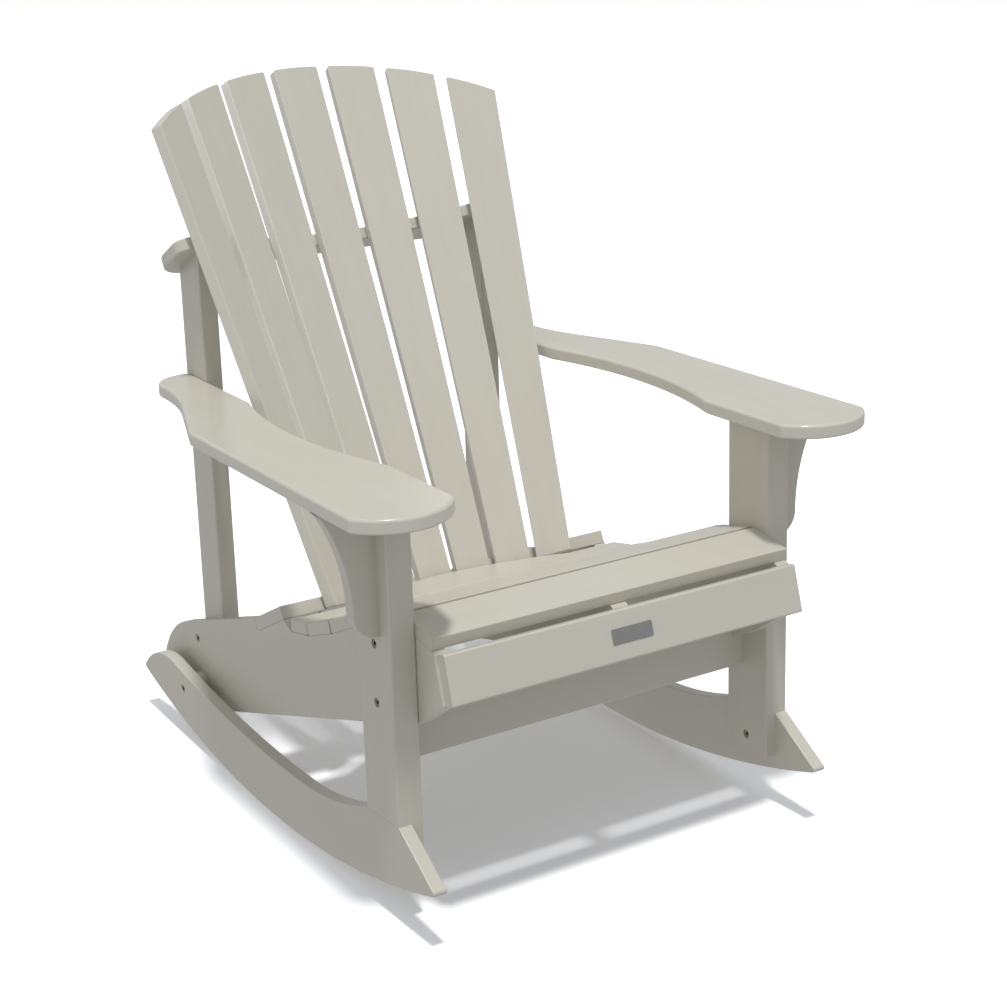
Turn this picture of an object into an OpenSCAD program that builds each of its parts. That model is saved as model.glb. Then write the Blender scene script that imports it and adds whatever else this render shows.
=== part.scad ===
// Rocking garden chair with a curved fan back, built from moulded boards.
// Millimetres, Z up. The origin is on the floor, midway between front and rear.
// The seat faces -Y. Right is +X, the right-hand side as seen from the front.
// Each board is its own node. Left-hand boards are mirrored right-hand ones.

/* [Board stock] */
// Thickness of the rockers, rails, arms, brackets and back boards
board_t = 20; // [18:0.5:22]
// Thickness of the seat boards
seat_t = 18; // [15:0.5:20]
// Thickness of the front legs
leg_t = 37; // [34:0.5:42]
// Thickness of the rear posts
post_t = 29; // [18:0.5:30]
// Radius of the eased board edges
edge_r = 3; // [1:0.5:4]

/* [Seat frame] */
// Width across the outer faces of the side rails
frame_w = 566; // [520:1:620]
// Slope of the side rails, falling to the rear
rail_slope = 18.8; // [18:0.1:19.5]
// Depth of the side rails, square to their slope
rail_h = 148; // [140:1:152]
// Y of the knee where the rail's underside turns up to the apron
rail_knee_y = -374; // [-385:1:-360]
// Radius of the rail's rounded rear end
rail_nose_r = 168; // [150:1:180]
// Y at which the rear end starts to round off
rail_nose_y = 386; // [380:1:392]
// Height of the rail's rear underside above the rocker's sole
rail_lift = 20; // [16:1:26]
// Thickness of the rib under the middle of the seat
rib_t = 24; // [20:1:30]
// Depth of the rib at its rear end
rib_tail_h = 60; // [45:1:75]

/* [Apron and stretcher] */
// Height of the front apron along its own face
apron_h = 67; // [55:1:70]
// Thickness of the apron
apron_t = 17; // [15:0.5:18]
// Lean of the apron, top to the rear
apron_lean = 15.6; // [12:0.1:18]
// Gap between each end of the apron and the rail's outer face
apron_inset = 4; // [2:0.5:8]
// Y of the apron's lower front edge
apron_y = -457.4; // [-462:0.1:-450]
// Height of the apron's lower front edge
apron_z = 327.7; // [326:0.1:333]
// Depth of the stretcher between the front legs
stretcher_h = 84; // [60:1:84]
// Depth of its ends, which pass below the side rails
stretcher_end_h = 46; // [40:1:46]
// Height of the stretcher's underside
stretcher_z = 206; // [200:1:207]
// Y of the stretcher's front face
stretcher_y = -328; // [-335:1:-325]
// Width of the blank plate on the apron
plate_w = 65; // [50:1:90]
// Height of the blank plate
plate_h = 26; // [20:1:35]
// Thickness of the blank plate
plate_t = 1.2; // [0.8:0.1:2]

/* [Seat boards] */
// Y of the seat's front upper edge
seat_y = -421.5; // [-424:0.5:-419]
// Height of the seat's front upper edge
seat_z = 407.5; // [406:0.5:410]
// Board pitch, measured along the seat
seat_pitch = 76; // [74:0.5:78]
// Open joint between two seat boards
seat_gap = 4.5; // [1.5:0.5:6]
// Y of the rear edge of the last seat board beside the back
seat_rear_y = -12; // [-20:0.5:-8]
// Gap between the last seat board and the back slats
seat_back_gap = 6; // [4:0.5:9]

/* [Rockers] */
// Radius of the rocker's sole
rocker_r = 1504; // [1450:1:1560]
// Y at which the sole touches the floor
rocker_touch_y = 29.5; // [20:0.5:40]
// Y of the rocker's front tip
rocker_front_y = -461.5; // [-466:0.5:-450]
// Y of the rocker's rear tip
rocker_rear_y = 483; // [475:0.5:490]
// Radius of the hollow upper edge
rocker_top_r = 2300; // [2200:10:2400]
// Y of the lowest point of the upper edge
rocker_waist_y = -9; // [-15:1:0]
// Height of the upper edge at its lowest point
rocker_waist_z = 91.5; // [88:0.5:96]
// Radius of the sweep up to the front leg
rocker_neck_r = 560; // [540:5:580]
// Y at which that sweep starts
rocker_neck_y = -89; // [-95:1:-83]
// Radius of the rounded rear end
rocker_tail_r = 142; // [138:1:150]
// Y at which the rear end starts to round off
rocker_tail_y = 356; // [350:1:360]
// Height of the front tip's upper edge
rocker_tip_z = 88; // [86:0.5:92]

/* [Front legs] */
// Depth of the leg, front to rear
leg_w = 86; // [80:1:90]
// Y of the leg's front face
leg_y = -378; // [-382:1:-374]
// Height of the leg's foot beside the rocker
leg_foot_z = 78; // [72:1:90]
// Height of the lap's shoulder at the front of the leg
lap_front_z = 143; // [140:0.5:146]
// Height of the lap's shoulder at the rear of the leg
lap_rear_z = 138.5; // [134:0.5:138.5]

/* [Arms and brackets] */
// Height of the arms' upper face
arm_z = 594; // [570:1:620]
// Width across the outer edges of the arms
arms_w = 800; // [790:1:820]
// Width between the inner edges of the arms at the front
arms_gap_w = 506; // [500:1:520]
// Y of the arms' front edge
arm_y = -483; // [-490:1:-470]
// Radius of the arm's outer front corner
arm_outer_r = 64; // [30:1:66]
// Radius of the arm's inner front corner
arm_inner_r = 64; // [20:1:66]
// Radius of the scoop in the arm's inner edge
scoop_r = 695; // [680:5:720]
// Y of the middle of the scoop
scoop_y = -62; // [-70:1:-55]
// Depth of the scoop from the middle of the chair
scoop_x = 288; // [284:0.5:292]
// Y at which the outer edge starts to narrow
tail_y = 27; // [20:1:35]
// Radius of the outward turn where the arm narrows
tail_out_r = 150; // [120:1:180]
// Radius of the inward sweep behind it
tail_in_r = 375; // [350:5:400]
// Half width across the arms' narrow rear ends
tail_x = 329; // [324:1:334]
// Radius of the arm's rear corner
arm_rear_r = 48; // [40:1:55]
// Y of the arm's rear edge
arm_rear_y = 344; // [342:1:352]
// Reach of the bracket's toe from the leg
bracket_toe_w = 36; // [33:1:38]
// Height of the bracket's foot
bracket_z = 398; // [390:1:410]
// Radius of the bracket's hollow outer edge
bracket_r = 266; // [266:2:320]
// Radius of the bracket's rounded toe
bracket_toe_r = 33; // [28:1:38]
// Y of the bracket's front face
bracket_y = -352; // [-360:1:-340]

/* [Rear posts] */
// Depth of the post, front to rear
post_w = 72; // [68:1:74]
// Y of the post's front face
post_y = 278; // [274:1:282]
// Height of the post's foot
post_foot_z = 72; // [66:1:90]

/* [Fan back] */
// Number of back slats
slat_count = 7; // [7]
// Recline of the middle slat from upright
back_recline = 27.4; // [26.8:0.1:28]
// Y of the middle slat's foot, front face
foot_y = 50.5; // [50:0.5:52]
// Height of the middle slat's foot, front face
foot_z = 275.7; // [275:0.1:276.4]
// Radius of the fan at the foot, to the slats' front faces
fan_r = 339; // [335:1:345]
// Turn from each slat to the next, about the fan's axis
fan_step = 10.72; // [10.5:0.01:10.8]
// Half angle of the cone on which the slats stand
fan_cone = 11.23; // [11:0.01:11.5]
// Width of a slat at its foot
slat_foot_w = 54; // [46:0.5:56]
// Width that a slat gains over its length
slat_gain = 22.3; // [16:0.1:24]
// Length of the middle slat
slat_l = 854; // [820:1:870]
// Radius of the rounded crown across the slats, laid flat
crown_r = 501; // [490:1:520]

/* [Back rails] */
// Width of the lower back rail
lower_rail_w = 102; // [96:1:106]
// Distance of its front edge before the middle slat's front face
lower_rail_lead = 43; // [42:0.5:44]
// Height of the upper back rail's underside, along the middle slat
upper_rail_s = 563; // [550:1:575]
// Length of the upper back rail
upper_rail_l = 592; // [580:1:600]
// Width of the upper back rail
upper_rail_w = 125; // [120:1:130]
// Distance of its front edge before the middle slat's front face
upper_rail_lead = 55; // [52:0.5:58]
// Radius of its front corners
upper_front_r = 25; // [15:1:30]
// Radius of its rear corners
upper_rear_r = 58; // [45:1:62]
// Play between the back rails and the slats
rail_fit = 0.1; // [0.1:0.05:0.3]

/* [Fasteners] */
// Height of the upper bolt in each front leg
leg_bolt_high_z = 383; // [375:1:386]
// Height of the lower bolt in each front leg
leg_bolt_low_z = 302; // [290:1:310]
// Height of the bolt from the leg's foot into the rocker
foot_bolt_z = 99; // [95:1:105]
// Y of the bolt through the rocker, spacer, rail and post
rocker_bolt_y = 325; // [315:1:330]
// Height of that bolt
rocker_bolt_z = 86; // [84:1:90]
// Y of the bolt through the rail and post
post_bolt_y = 338; // [320:1:338]
// Height of that bolt
post_bolt_z = 160; // [145:1:162]
// Diameter of the spacer between the rail and the rocker
spacer_d = 40; // [30:1:44]
// Diameter of the frame bolts
bolt_d = 8; // [6:0.5:8]
// Diameter of a bolt's head
bolt_head_d = 13; // [11:0.5:14]
// Height of a bolt's head
bolt_head_h = 5; // [4:0.5:6]
// Width across the flats of a bolt's socket
bolt_socket_w = 6; // [4:0.5:7]
// Depth of a bolt's socket
bolt_socket_h = 3; // [2:0.5:3.5]
// Depth by which a head sits below the board's face
bolt_sink = 1.5; // [1:0.5:3]
// Play around bolts and heads
bolt_fit = 0.4; // [0.2:0.1:0.6]
// Width across the corners of a nut
nut_d = 15; // [13:0.5:16]
// Height of a nut
nut_h = 6.5; // [5:0.5:7]
// Diameter of a washer
washer_d = 18; // [16:0.5:20]
// Thickness of a washer
washer_t = 1.6; // [1:0.1:2]
// Diameter of the wood screws
screw_d = 4.5; // [3.5:0.5:5]
// Length of the long screws
screw_l = 45; // [40:1:50]
// Length of the short screws
short_screw_l = 36; // [30:1:38]
// Angle at which the hidden screws leave the face that they start behind
pocket_angle = 18; // [15:1:22]
// Depth to which a screw bites into the board that it holds
screw_bite = 12; // [8:0.5:14]
// Distance between the two screws in a joint
screw_pair = 26; // [20:1:28]

/* [Hidden] */
$fn = 96;
// Slope of each seat board, rising to the rear, front board first
seat_slopes = [10.5, -14, -23.5, -25, -20.5, -11.5];
seat_count = len(seat_slopes);
// Overlap used to cut cleanly through a face
cut = 1;
// Step that keeps two arcs of the rocker apart where they meet
arc_step = 0.05;
// A span longer than any board of the chair
long = 2000;
frame_x = frame_w / 2;
leg_outer_x = frame_x + leg_t;
rocker_x = leg_outer_x - board_t;
rail_inner_x = frame_x - board_t;
arm_x = arms_w / 2;
arm_inner_x = arms_gap_w / 2;
arm_under_z = arm_z - board_t;
leg_rear_y = leg_y + leg_w;
leg_mid_y = leg_y + leg_w / 2;
post_mid_y = post_y + post_w / 2;
post_inner_x = rail_inner_x - post_t;
bracket_toe_z = bracket_z + bracket_toe_r;
// How far a hidden screw runs before it leaves the board that it starts in
pocket_l = short_screw_l - screw_bite;
pocket_screw_l = short_screw_l;
// The foot's bolt stops short of the rocker's outer face
foot_bolt_l = leg_t - bolt_head_h;

// Seat line: the front upper corner of each board, then the end of the last
function seat_dir(i) = [cos(seat_slopes[i]), sin(seat_slopes[i])];
function seat_point(i) =
    i == 0 ? [seat_y, seat_z] : seat_point(i - 1) + seat_pitch * seat_dir(i - 1);
// Mean slope at the joint before board i, along which both edges are cut
function joint_slope(i) =
    i == 0 ? seat_slopes[0]
    : i == seat_count ? seat_slopes[seat_count - 1]
    : (seat_slopes[i - 1] + seat_slopes[i]) / 2;
// Lower point of the joint before board i
function seat_under(i) =
    seat_point(i)
    + seat_t / cos(joint_slope(i) - seat_slopes[max(i - 1, 0)])
    * [sin(joint_slope(i)), -cos(joint_slope(i))];
last_under = seat_under(seat_count - 1);
// Height of the last board's underside at a given Y
function last_under_z(y) =
    last_under[1] + (y - last_under[0]) * tan(seat_slopes[seat_count - 1]);

// Apron section: its rear face carries the ends of the rails
apron_up = [sin(apron_lean), cos(apron_lean)];
apron_back = [cos(apron_lean), -sin(apron_lean)];
apron_low_rear = [apron_y, apron_z] + apron_t * apron_back;
apron_top_rear = apron_low_rear + apron_h * apron_up;

// Back frame: along the middle slat, and square to it
back_up = [sin(back_recline), cos(back_recline)];
back_out = [cos(back_recline), -sin(back_recline)];
foot = [foot_y, foot_z];
lower_front = foot - lower_rail_lead * back_out;
lower_rear = lower_front + lower_rail_w * back_out;
lower_rear_top = lower_rear + board_t * back_up;
fan_tilt = back_recline - fan_cone;
slat_mid = (slat_count - 1) / 2;
// Distance from the cone's point to the foot, along a slat
fan_reach = fan_r / sin(fan_cone);
// Angle between two slats when the fan is laid flat
fan_spread = fan_step * sin(fan_cone);
crown_s = slat_l - crown_r;
// How far the edges of a flat slat stand behind the round rail
slat_bow = pow((slat_foot_w + slat_gain) / 2, 2) / (2 * (fan_r + upper_rail_s * sin(fan_cone)));
// Seat boards, rails and rib rise to meet the lower rail along its underside
function lower_under_z(y) = foot_z - (y - foot_y) * tan(back_recline);

// Side rail section
rail_fall = tan(rail_slope);
rail_drop = rail_h / cos(rail_slope);
function rail_top_z(y) = lower_rear_top[1] - (y - lower_rear_top[0]) * rail_fall;
function rail_low_z(y) = rail_top_z(y) - rail_drop;
rail_nose = [
    rail_nose_y - rail_nose_r * sin(rail_slope),
    rail_top_z(rail_nose_y) - rail_nose_r * cos(rail_slope)
];

// Height of the upper back rail's underside at a given Y
upper_foot = foot + upper_rail_s * back_up;
function upper_under_z(y) = upper_foot[1] - (y - upper_foot[0]) * tan(back_recline);

slat_steps = [for (i = [0:slat_count - 1]) i - slat_mid];
// Distance along a slat at which it crosses a level of the middle slat
function slat_s(step, level) =
    (level + fan_r * (1 - cos(step * fan_step)) * sin(fan_cone))
    / (pow(cos(fan_cone), 2) + pow(sin(fan_cone), 2) * cos(step * fan_step));
function slat_w(s) = slat_foot_w + slat_gain * s / slat_l;

board_col = [0.72, 0.70, 0.63];
plate_col = [0.45, 0.46, 0.48];
steel_col = [0.45, 0.42, 0.36];

// Mirrors the right-hand board to the left
module to_left() {
    mirror([1, 0, 0]) children();
}

// Draws the right-hand children and their mirror image
module both_sides() {
    children();
    mirror([1, 0, 0]) children();
}

// Stands a Y-Z drawing up and gives it a thickness from x0 to x1
module side_board(x0, x1) {
    translate([x0, 0, 0])
        rotate([90, 0, 90])
            linear_extrude(x1 - x0) children();
}

// A rectangle with four rounded corners, from its lower corner
module eased_rect(size, r) {
    translate([r, 0]) square([size[0] - 2 * r, size[1]]);
    translate([0, r]) square([size[0], size[1] - 2 * r]);
    for (x = [r, size[0] - r], y = [r, size[1] - r])
        translate([x, y]) circle(r);
}

// What a rounding of radius r takes off the corner at the origin;
// the board lies towards -X and -Y
module corner_waste(r) {
    difference() {
        translate([-r, -r]) square(r + cut);
        translate([-r, -r]) circle(r);
    }
}

// Carries children into the frame of the back: Y square to the middle
// slat, Z along it, from the middle slat's foot
module back_frame() {
    translate([0, foot_y, foot_z])
        rotate([-back_recline, 0, 0]) children();
}

// Carries children to the slat that stands a number of steps off the middle
module slat_frame(step) {
    translate([0, foot_y, foot_z])
        rotate([-fan_tilt, 0, 0])
            translate([0, -fan_r, 0])
                rotate([0, 0, -step * fan_step])
                    translate([0, fan_r, 0])
                        rotate([-fan_cone, 0, 0]) children();
}

// The cone that the slats' front faces touch, grown by a margin
module fan_body(margin) {
    low = -slat_l / 8;
    translate([0, foot_y, foot_z])
        rotate([-fan_tilt, 0, 0])
            translate([0, -fan_r, low])
                cylinder(
                    h = slat_l,
                    r1 = fan_r + margin / cos(fan_cone) + low * tan(fan_cone),
                    r2 = fan_r + margin / cos(fan_cone) + (low + slat_l) * tan(fan_cone),
                    $fn = 240);
}

// Fasteners. Each runs along +X from the face that it enters.

module bolt(l) {
    rotate([0, 90, 0])
        translate([0, 0, bolt_sink])
            difference() {
                union() {
                    cylinder(d = bolt_head_d, h = bolt_head_h);
                    cylinder(d = bolt_d, h = l - bolt_sink);
                }
                translate([0, 0, -cut])
                    cylinder(d = bolt_socket_w / cos(30), h = bolt_socket_h + cut, $fn = 6);
            }
}

// The stepped hole for a bolt that goes right through a stack of boards
module bolt_hole(grip) {
    rotate([0, 90, 0]) {
        translate([0, 0, -cut])
            cylinder(d = bolt_head_d + bolt_fit, h = bolt_sink + bolt_head_h + cut);
        cylinder(d = bolt_d + bolt_fit, h = grip + cut);
    }
}

// The stepped hole for a bolt that bites into the last board
module blind_hole(l) {
    rotate([0, 90, 0]) {
        translate([0, 0, -cut])
            cylinder(d = bolt_head_d + bolt_fit, h = bolt_sink + bolt_head_h + cut);
        cylinder(d = bolt_d, h = l);
    }
}

// A washer with its nut, on the face at the origin
module nut() {
    rotate([0, 90, 0])
        difference() {
            union() {
                cylinder(d = washer_d, h = washer_t);
                translate([0, 0, washer_t]) cylinder(d = nut_d, h = nut_h, $fn = 6);
            }
            translate([0, 0, -cut])
                cylinder(d = bolt_d, h = washer_t + nut_h + 2 * cut);
        }
}

module screw(l) {
    rotate([0, 90, 0]) cylinder(d = screw_d, h = l);
}

// Places of the fasteners on the right-hand side. Each module carries its
// children to every place, where +X leads into the boards.

module at_leg_bolts() {
    for (z = [leg_bolt_low_z, leg_bolt_high_z])
        translate([leg_outer_x, leg_mid_y, z]) rotate([0, 0, 180]) children();
}

module at_foot_bolt() {
    translate([frame_x, leg_mid_y, foot_bolt_z]) children();
}

module at_rocker_bolt() {
    translate([leg_outer_x, rocker_bolt_y, rocker_bolt_z]) rotate([0, 0, 180]) children();
}

module at_post_bolt() {
    translate([frame_x, post_bolt_y, post_bolt_z]) rotate([0, 0, 180]) children();
}

// Two screws from the post into the arm's edge
module at_arm_post_screws() {
    for (y = [post_mid_y - screw_pair / 2, post_mid_y + screw_pair / 2])
        translate([post_inner_x, y, arm_z - board_t / 2]) children();
}

// Two screws from the leg's rear face up into the arm
module at_arm_leg_screws() {
    for (side = [-1, 1])
        translate([
            frame_x + leg_t / 2 + side * screw_pair / 4,
            leg_rear_y - screw_d,
            arm_under_z - pocket_l
        ])
            rotate([pocket_angle, 0, 0])
                rotate([0, -90, 0]) children();
}

// Two screws from the bracket's rear face into the leg
module at_bracket_screws() {
    for (z = [arm_under_z - screw_pair, bracket_toe_z + screw_pair / 2])
        translate([leg_outer_x + pocket_l, bracket_y + board_t - screw_d, z])
            rotate([0, 0, 180 + pocket_angle]) children();
}

module at_stretcher_screws() {
    for (z = [stretcher_z + screw_pair / 2, stretcher_z + stretcher_end_h - screw_pair / 2])
        translate([frame_x - pocket_l, stretcher_y + board_t - screw_d, z])
            rotate([0, 0, -pocket_angle]) children();
}

module at_apron_screws() {
    translate([rail_inner_x + screw_d, apron_low_rear[0], apron_low_rear[1]])
        rotate([-apron_lean, 0, 0])
            for (z = [apron_h / 2 - screw_pair / 2, apron_h / 2 + screw_pair / 2])
                translate([0, pocket_l, z])
                    rotate([0, 0, pocket_angle / 2 - 90]) children();
}

// One screw from a rail's inside face up into a seat board
module at_seat_screw(i, x) {
    middle = (seat_under(i) + seat_under(i + 1)) / 2;
    translate([x, middle[0], middle[1]])
        rotate([seat_slopes[i], 0, 0])
            rotate([0, pocket_angle - 90, 0])
                translate([-pocket_l, 0, 0]) children();
}

// Two screws from a back rail into the slat before it, at a level of the
// middle slat; a positive angle leads down from the rail's upper face
module at_back_screws(step, level, angle) {
    slat_frame(step)
        for (x = [-screw_pair / 2, screw_pair / 2])
            translate([x, board_t, slat_s(step, level)])
                rotate([angle, 0, 0])
                    rotate([0, 0, -90])
                        translate([-pocket_l, 0, 0]) children();
}

module at_lower_back_screws(step) {
    at_back_screws(step, board_t / 2, -pocket_angle) children();
}

module at_upper_back_screws(step) {
    at_back_screws(step, upper_rail_s + board_t / 2, pocket_angle) children();
}

// Rockers. The section is drawn in slabs, one for each curve of its upper edge.

module rocker_slab(y0, y1) {
    intersection() {
        translate([rocker_touch_y, rocker_r]) circle(rocker_r, $fn = 720);
        translate([y0, -cut]) square([y1 - y0, lap_front_z + cut]);
    }
}

module rocker() {
    top = [rocker_waist_y, rocker_waist_z + rocker_top_r];
    neck_turn = asin((rocker_waist_y - rocker_neck_y) / rocker_top_r);
    neck = top - (rocker_top_r - rocker_neck_r - arc_step) * [sin(neck_turn), cos(neck_turn)];
    tail_turn = asin((rocker_tail_y - rocker_waist_y) / rocker_top_r);
    tail = top + (rocker_top_r + rocker_tail_r + arc_step) * [sin(tail_turn), -cos(tail_turn)];
    color(board_col)
        difference() {
            side_board(rocker_x, leg_outer_x) {
                // the front end, and the shoulder under the leg
                intersection() {
                    rocker_slab(rocker_front_y, leg_rear_y);
                    polygon([
                        [rocker_front_y, 0],
                        [rocker_front_y, rocker_tip_z],
                        [leg_y, lap_front_z],
                        [leg_rear_y, lap_rear_z],
                        [leg_rear_y, 0]
                    ]);
                }
                // the sweep behind the leg
                difference() {
                    rocker_slab(leg_rear_y, rocker_neck_y);
                    translate(neck) circle(rocker_neck_r, $fn = 720);
                }
                // the hollow upper edge
                difference() {
                    rocker_slab(rocker_neck_y, rocker_tail_y);
                    translate(top) circle(rocker_top_r, $fn = 720);
                }
                // the rounded rear end
                intersection() {
                    rocker_slab(rocker_tail_y, rocker_rear_y);
                    translate(tail) circle(rocker_tail_r, $fn = 360);
                }
            }
            at_foot_bolt() blind_hole(foot_bolt_l);
            at_rocker_bolt() bolt_hole(long / 8);
        }
}

module rocker_right() { rocker(); }
module rocker_left() { to_left() rocker(); }

// Discs that hold the rear of the rocker clear of the side rail
module rocker_spacers() {
    color(board_col)
        both_sides()
            difference() {
                translate([frame_x, rocker_bolt_y, rocker_bolt_z])
                    rotate([0, 90, 0]) cylinder(d = spacer_d, h = leg_t - board_t);
                at_rocker_bolt() bolt_hole(long / 8);
            }
}

// Front legs: the outer layer stops on the rocker, the inner cheek runs down

module front_leg() {
    color(board_col)
        difference() {
            translate([frame_x, leg_y, leg_foot_z])
                linear_extrude(arm_under_z - leg_foot_z)
                    eased_rect([leg_t, leg_w], edge_r);
            side_board(rocker_x, leg_outer_x + cut)
                polygon([
                    [leg_y - cut, 0],
                    [leg_y - cut, lap_front_z],
                    [leg_y, lap_front_z],
                    [leg_rear_y, lap_rear_z],
                    [leg_rear_y + cut, lap_rear_z],
                    [leg_rear_y + cut, 0]
                ]);
            at_leg_bolts() bolt_hole(leg_t);
            at_foot_bolt() blind_hole(foot_bolt_l);
            at_bracket_screws() screw(pocket_screw_l);
            at_arm_leg_screws() screw(pocket_screw_l);
            at_stretcher_screws() screw(pocket_screw_l);
        }
}

module front_leg_right() { front_leg(); }
module front_leg_left() { to_left() front_leg(); }

// Side rails

module rail_section() {
    far = long / 2;
    difference() {
        intersection() {
            polygon(concat(
                [apron_low_rear, apron_top_rear],
                [for (i = [0:seat_count - 1]) seat_under(i)],
                [
                    [seat_rear_y, last_under_z(seat_rear_y)],
                    lower_front,
                    lower_rear,
                    lower_rear_top,
                    [far, rail_top_z(far)],
                    [far, rail_low_z(far)],
                    [rail_knee_y, rail_low_z(rail_knee_y)]
                ]));
            translate([rocker_touch_y, rocker_r]) circle(rocker_r - rail_lift, $fn = 720);
        }
        difference() {
            translate(rail_nose) rotate(-rail_slope) square(long);
            translate(rail_nose) circle(rail_nose_r, $fn = 360);
        }
    }
}

module side_rail() {
    color(board_col)
        difference() {
            side_board(rail_inner_x, frame_x) rail_section();
            at_leg_bolts() bolt_hole(leg_t + board_t);
            at_rocker_bolt() bolt_hole(long / 8);
            at_post_bolt() bolt_hole(board_t);
            at_apron_screws() screw(pocket_screw_l);
            for (i = [0:seat_count - 1])
                at_seat_screw(i, frame_x - board_t / 2) screw(pocket_screw_l);
        }
}

module side_rail_right() { side_rail(); }
module side_rail_left() { to_left() side_rail(); }

// Rear posts, cut off under the upper back rail

module rear_post() {
    color(board_col)
        difference() {
            translate([post_inner_x, post_y, post_foot_z])
                linear_extrude(long / 2) eased_rect([post_t, post_w], edge_r);
            back_frame()
                translate([-long / 2, -long / 2, upper_rail_s]) cube(long);
            at_rocker_bolt() bolt_hole(long / 8);
            at_post_bolt() bolt_hole(board_t + post_t);
            at_arm_post_screws() screw(screw_l);
        }
}

module rear_post_right() { rear_post(); }
module rear_post_left() { to_left() rear_post(); }

// Arms

module arm_outline() {
    out = [arm_x - tail_out_r, tail_y];
    in_x = tail_x + tail_in_r;
    in_y = tail_y + sqrt(pow(tail_out_r + tail_in_r, 2) - pow(in_x - out[0], 2));
    turn = out + tail_out_r / (tail_out_r + tail_in_r) * ([in_x, in_y] - out);
    difference() {
        union() {
            translate([arm_inner_x, arm_y])
                square([arm_x - arm_inner_x, tail_y - arm_y]);
            intersection() {
                translate(out) circle(tail_out_r, $fn = 360);
                translate([rail_inner_x, tail_y])
                    square([arm_x - rail_inner_x, turn[1] - tail_y]);
            }
            difference() {
                polygon([
                    [rail_inner_x, turn[1]],
                    turn,
                    [turn[0], in_y],
                    [tail_x, in_y],
                    [tail_x, arm_rear_y],
                    [rail_inner_x, arm_rear_y]
                ]);
                translate([in_x, in_y]) circle(tail_in_r, $fn = 720);
            }
        }
        translate([scoop_x - scoop_r, scoop_y]) circle(scoop_r, $fn = 720);
        translate([arm_x, arm_y]) mirror([0, 1]) corner_waste(arm_outer_r);
        translate([arm_inner_x, arm_y]) rotate(180) corner_waste(arm_inner_r);
        translate([tail_x, arm_rear_y]) corner_waste(arm_rear_r);
    }
}

module arm() {
    color(board_col)
        difference() {
            translate([0, 0, arm_under_z]) linear_extrude(board_t) arm_outline();
            at_arm_post_screws() screw(screw_l);
            at_arm_leg_screws() screw(pocket_screw_l);
        }
}

module arm_right() { arm(); }
module arm_left() { to_left() arm(); }

// Brackets under the arms

module bracket_outline() {
    toe_x = leg_outer_x + bracket_toe_w;
    difference() {
        translate([leg_outer_x, bracket_toe_z])
            square([bracket_r, arm_under_z - bracket_toe_z]);
        translate([toe_x + bracket_r, bracket_toe_z]) circle(bracket_r, $fn = 360);
        translate([toe_x + bracket_r / 2, bracket_toe_z]) square(bracket_r);
    }
    intersection() {
        translate([toe_x - bracket_toe_r, bracket_toe_z]) circle(bracket_toe_r);
        translate([leg_outer_x, bracket_z]) square([bracket_toe_w, bracket_toe_r]);
    }
}

module arm_bracket() {
    color(board_col)
        difference() {
            translate([0, bracket_y + board_t, 0])
                rotate([90, 0, 0])
                    linear_extrude(board_t) bracket_outline();
            at_bracket_screws() screw(pocket_screw_l);
        }
}

module arm_bracket_right() { arm_bracket(); }
module arm_bracket_left() { to_left() arm_bracket(); }

// Rib under the middle of the seat, from the apron to the lower rail

module rib_section() {
    // where the seat's underside meets the lower rail's underside
    meet_y = (lower_under_z(0) - last_under_z(0))
        / (tan(back_recline) + tan(seat_slopes[seat_count - 1]));
    polygon(concat(
        [apron_low_rear, apron_top_rear],
        [for (i = [0:seat_count - 1]) seat_under(i)],
        [
            [meet_y, last_under_z(meet_y)],
            lower_rear,
            [lower_rear[0], lower_rear[1] - rib_tail_h]
        ]));
}

module seat_rib() {
    color(board_col)
        difference() {
            side_board(-rib_t / 2, rib_t / 2) rib_section();
            for (i = [0:seat_count - 1])
                at_seat_screw(i, 0) screw(pocket_screw_l);
        }
}

module front_apron() {
    half = frame_x - apron_inset;
    color(board_col)
        difference() {
            translate([0, apron_y, apron_z])
                rotate([-apron_lean, 0, 0])
                    side_board(-half, half) eased_rect([apron_t, apron_h], edge_r);
            both_sides() at_apron_screws() screw(pocket_screw_l);
        }
}

module name_plate() {
    color(plate_col)
        translate([0, apron_y, apron_z])
            rotate([-apron_lean, 0, 0])
                translate([-plate_w / 2, 0, (apron_h - plate_h) / 2])
                    rotate([90, 0, 0])
                        linear_extrude(plate_t) eased_rect([plate_w, plate_h], edge_r);
}

module front_stretcher() {
    color(board_col)
        difference() {
            translate([0, stretcher_y, stretcher_z])
                side_board(-frame_x, frame_x) eased_rect([board_t, stretcher_h], edge_r);
            both_sides()
                translate([rail_inner_x, stretcher_y - cut, stretcher_z + stretcher_end_h])
                    cube([board_t + cut, board_t + 2 * cut, stretcher_h]);
            both_sides() at_stretcher_screws() screw(pocket_screw_l);
        }
}

// Seat boards, with their edges cut along the joints

module seat_board(i) {
    ease = seat_gap / 2 * seat_dir(i);
    ends = i == seat_count - 1
        ? [seat_point(i + 1) + seat_pitch * seat_dir(i), seat_under(i + 1) + seat_pitch * seat_dir(i)]
        : [seat_point(i + 1) - ease, seat_under(i + 1) - ease];
    color(board_col)
        difference() {
            side_board(-frame_x, frame_x)
                polygon([seat_point(i) + ease, ends[0], ends[1], seat_under(i) + ease]);
            for (x = [-frame_x + board_t / 2, 0, frame_x - board_t / 2])
                mirror([x < 0 ? 1 : 0, 0, 0])
                    at_seat_screw(i, abs(x)) screw(pocket_screw_l);
        }
}

module seat_slat_1() { seat_board(0); }
module seat_slat_2() { seat_board(1); }
module seat_slat_3() { seat_board(2); }
module seat_slat_4() { seat_board(3); }
module seat_slat_5() { seat_board(4); }

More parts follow.
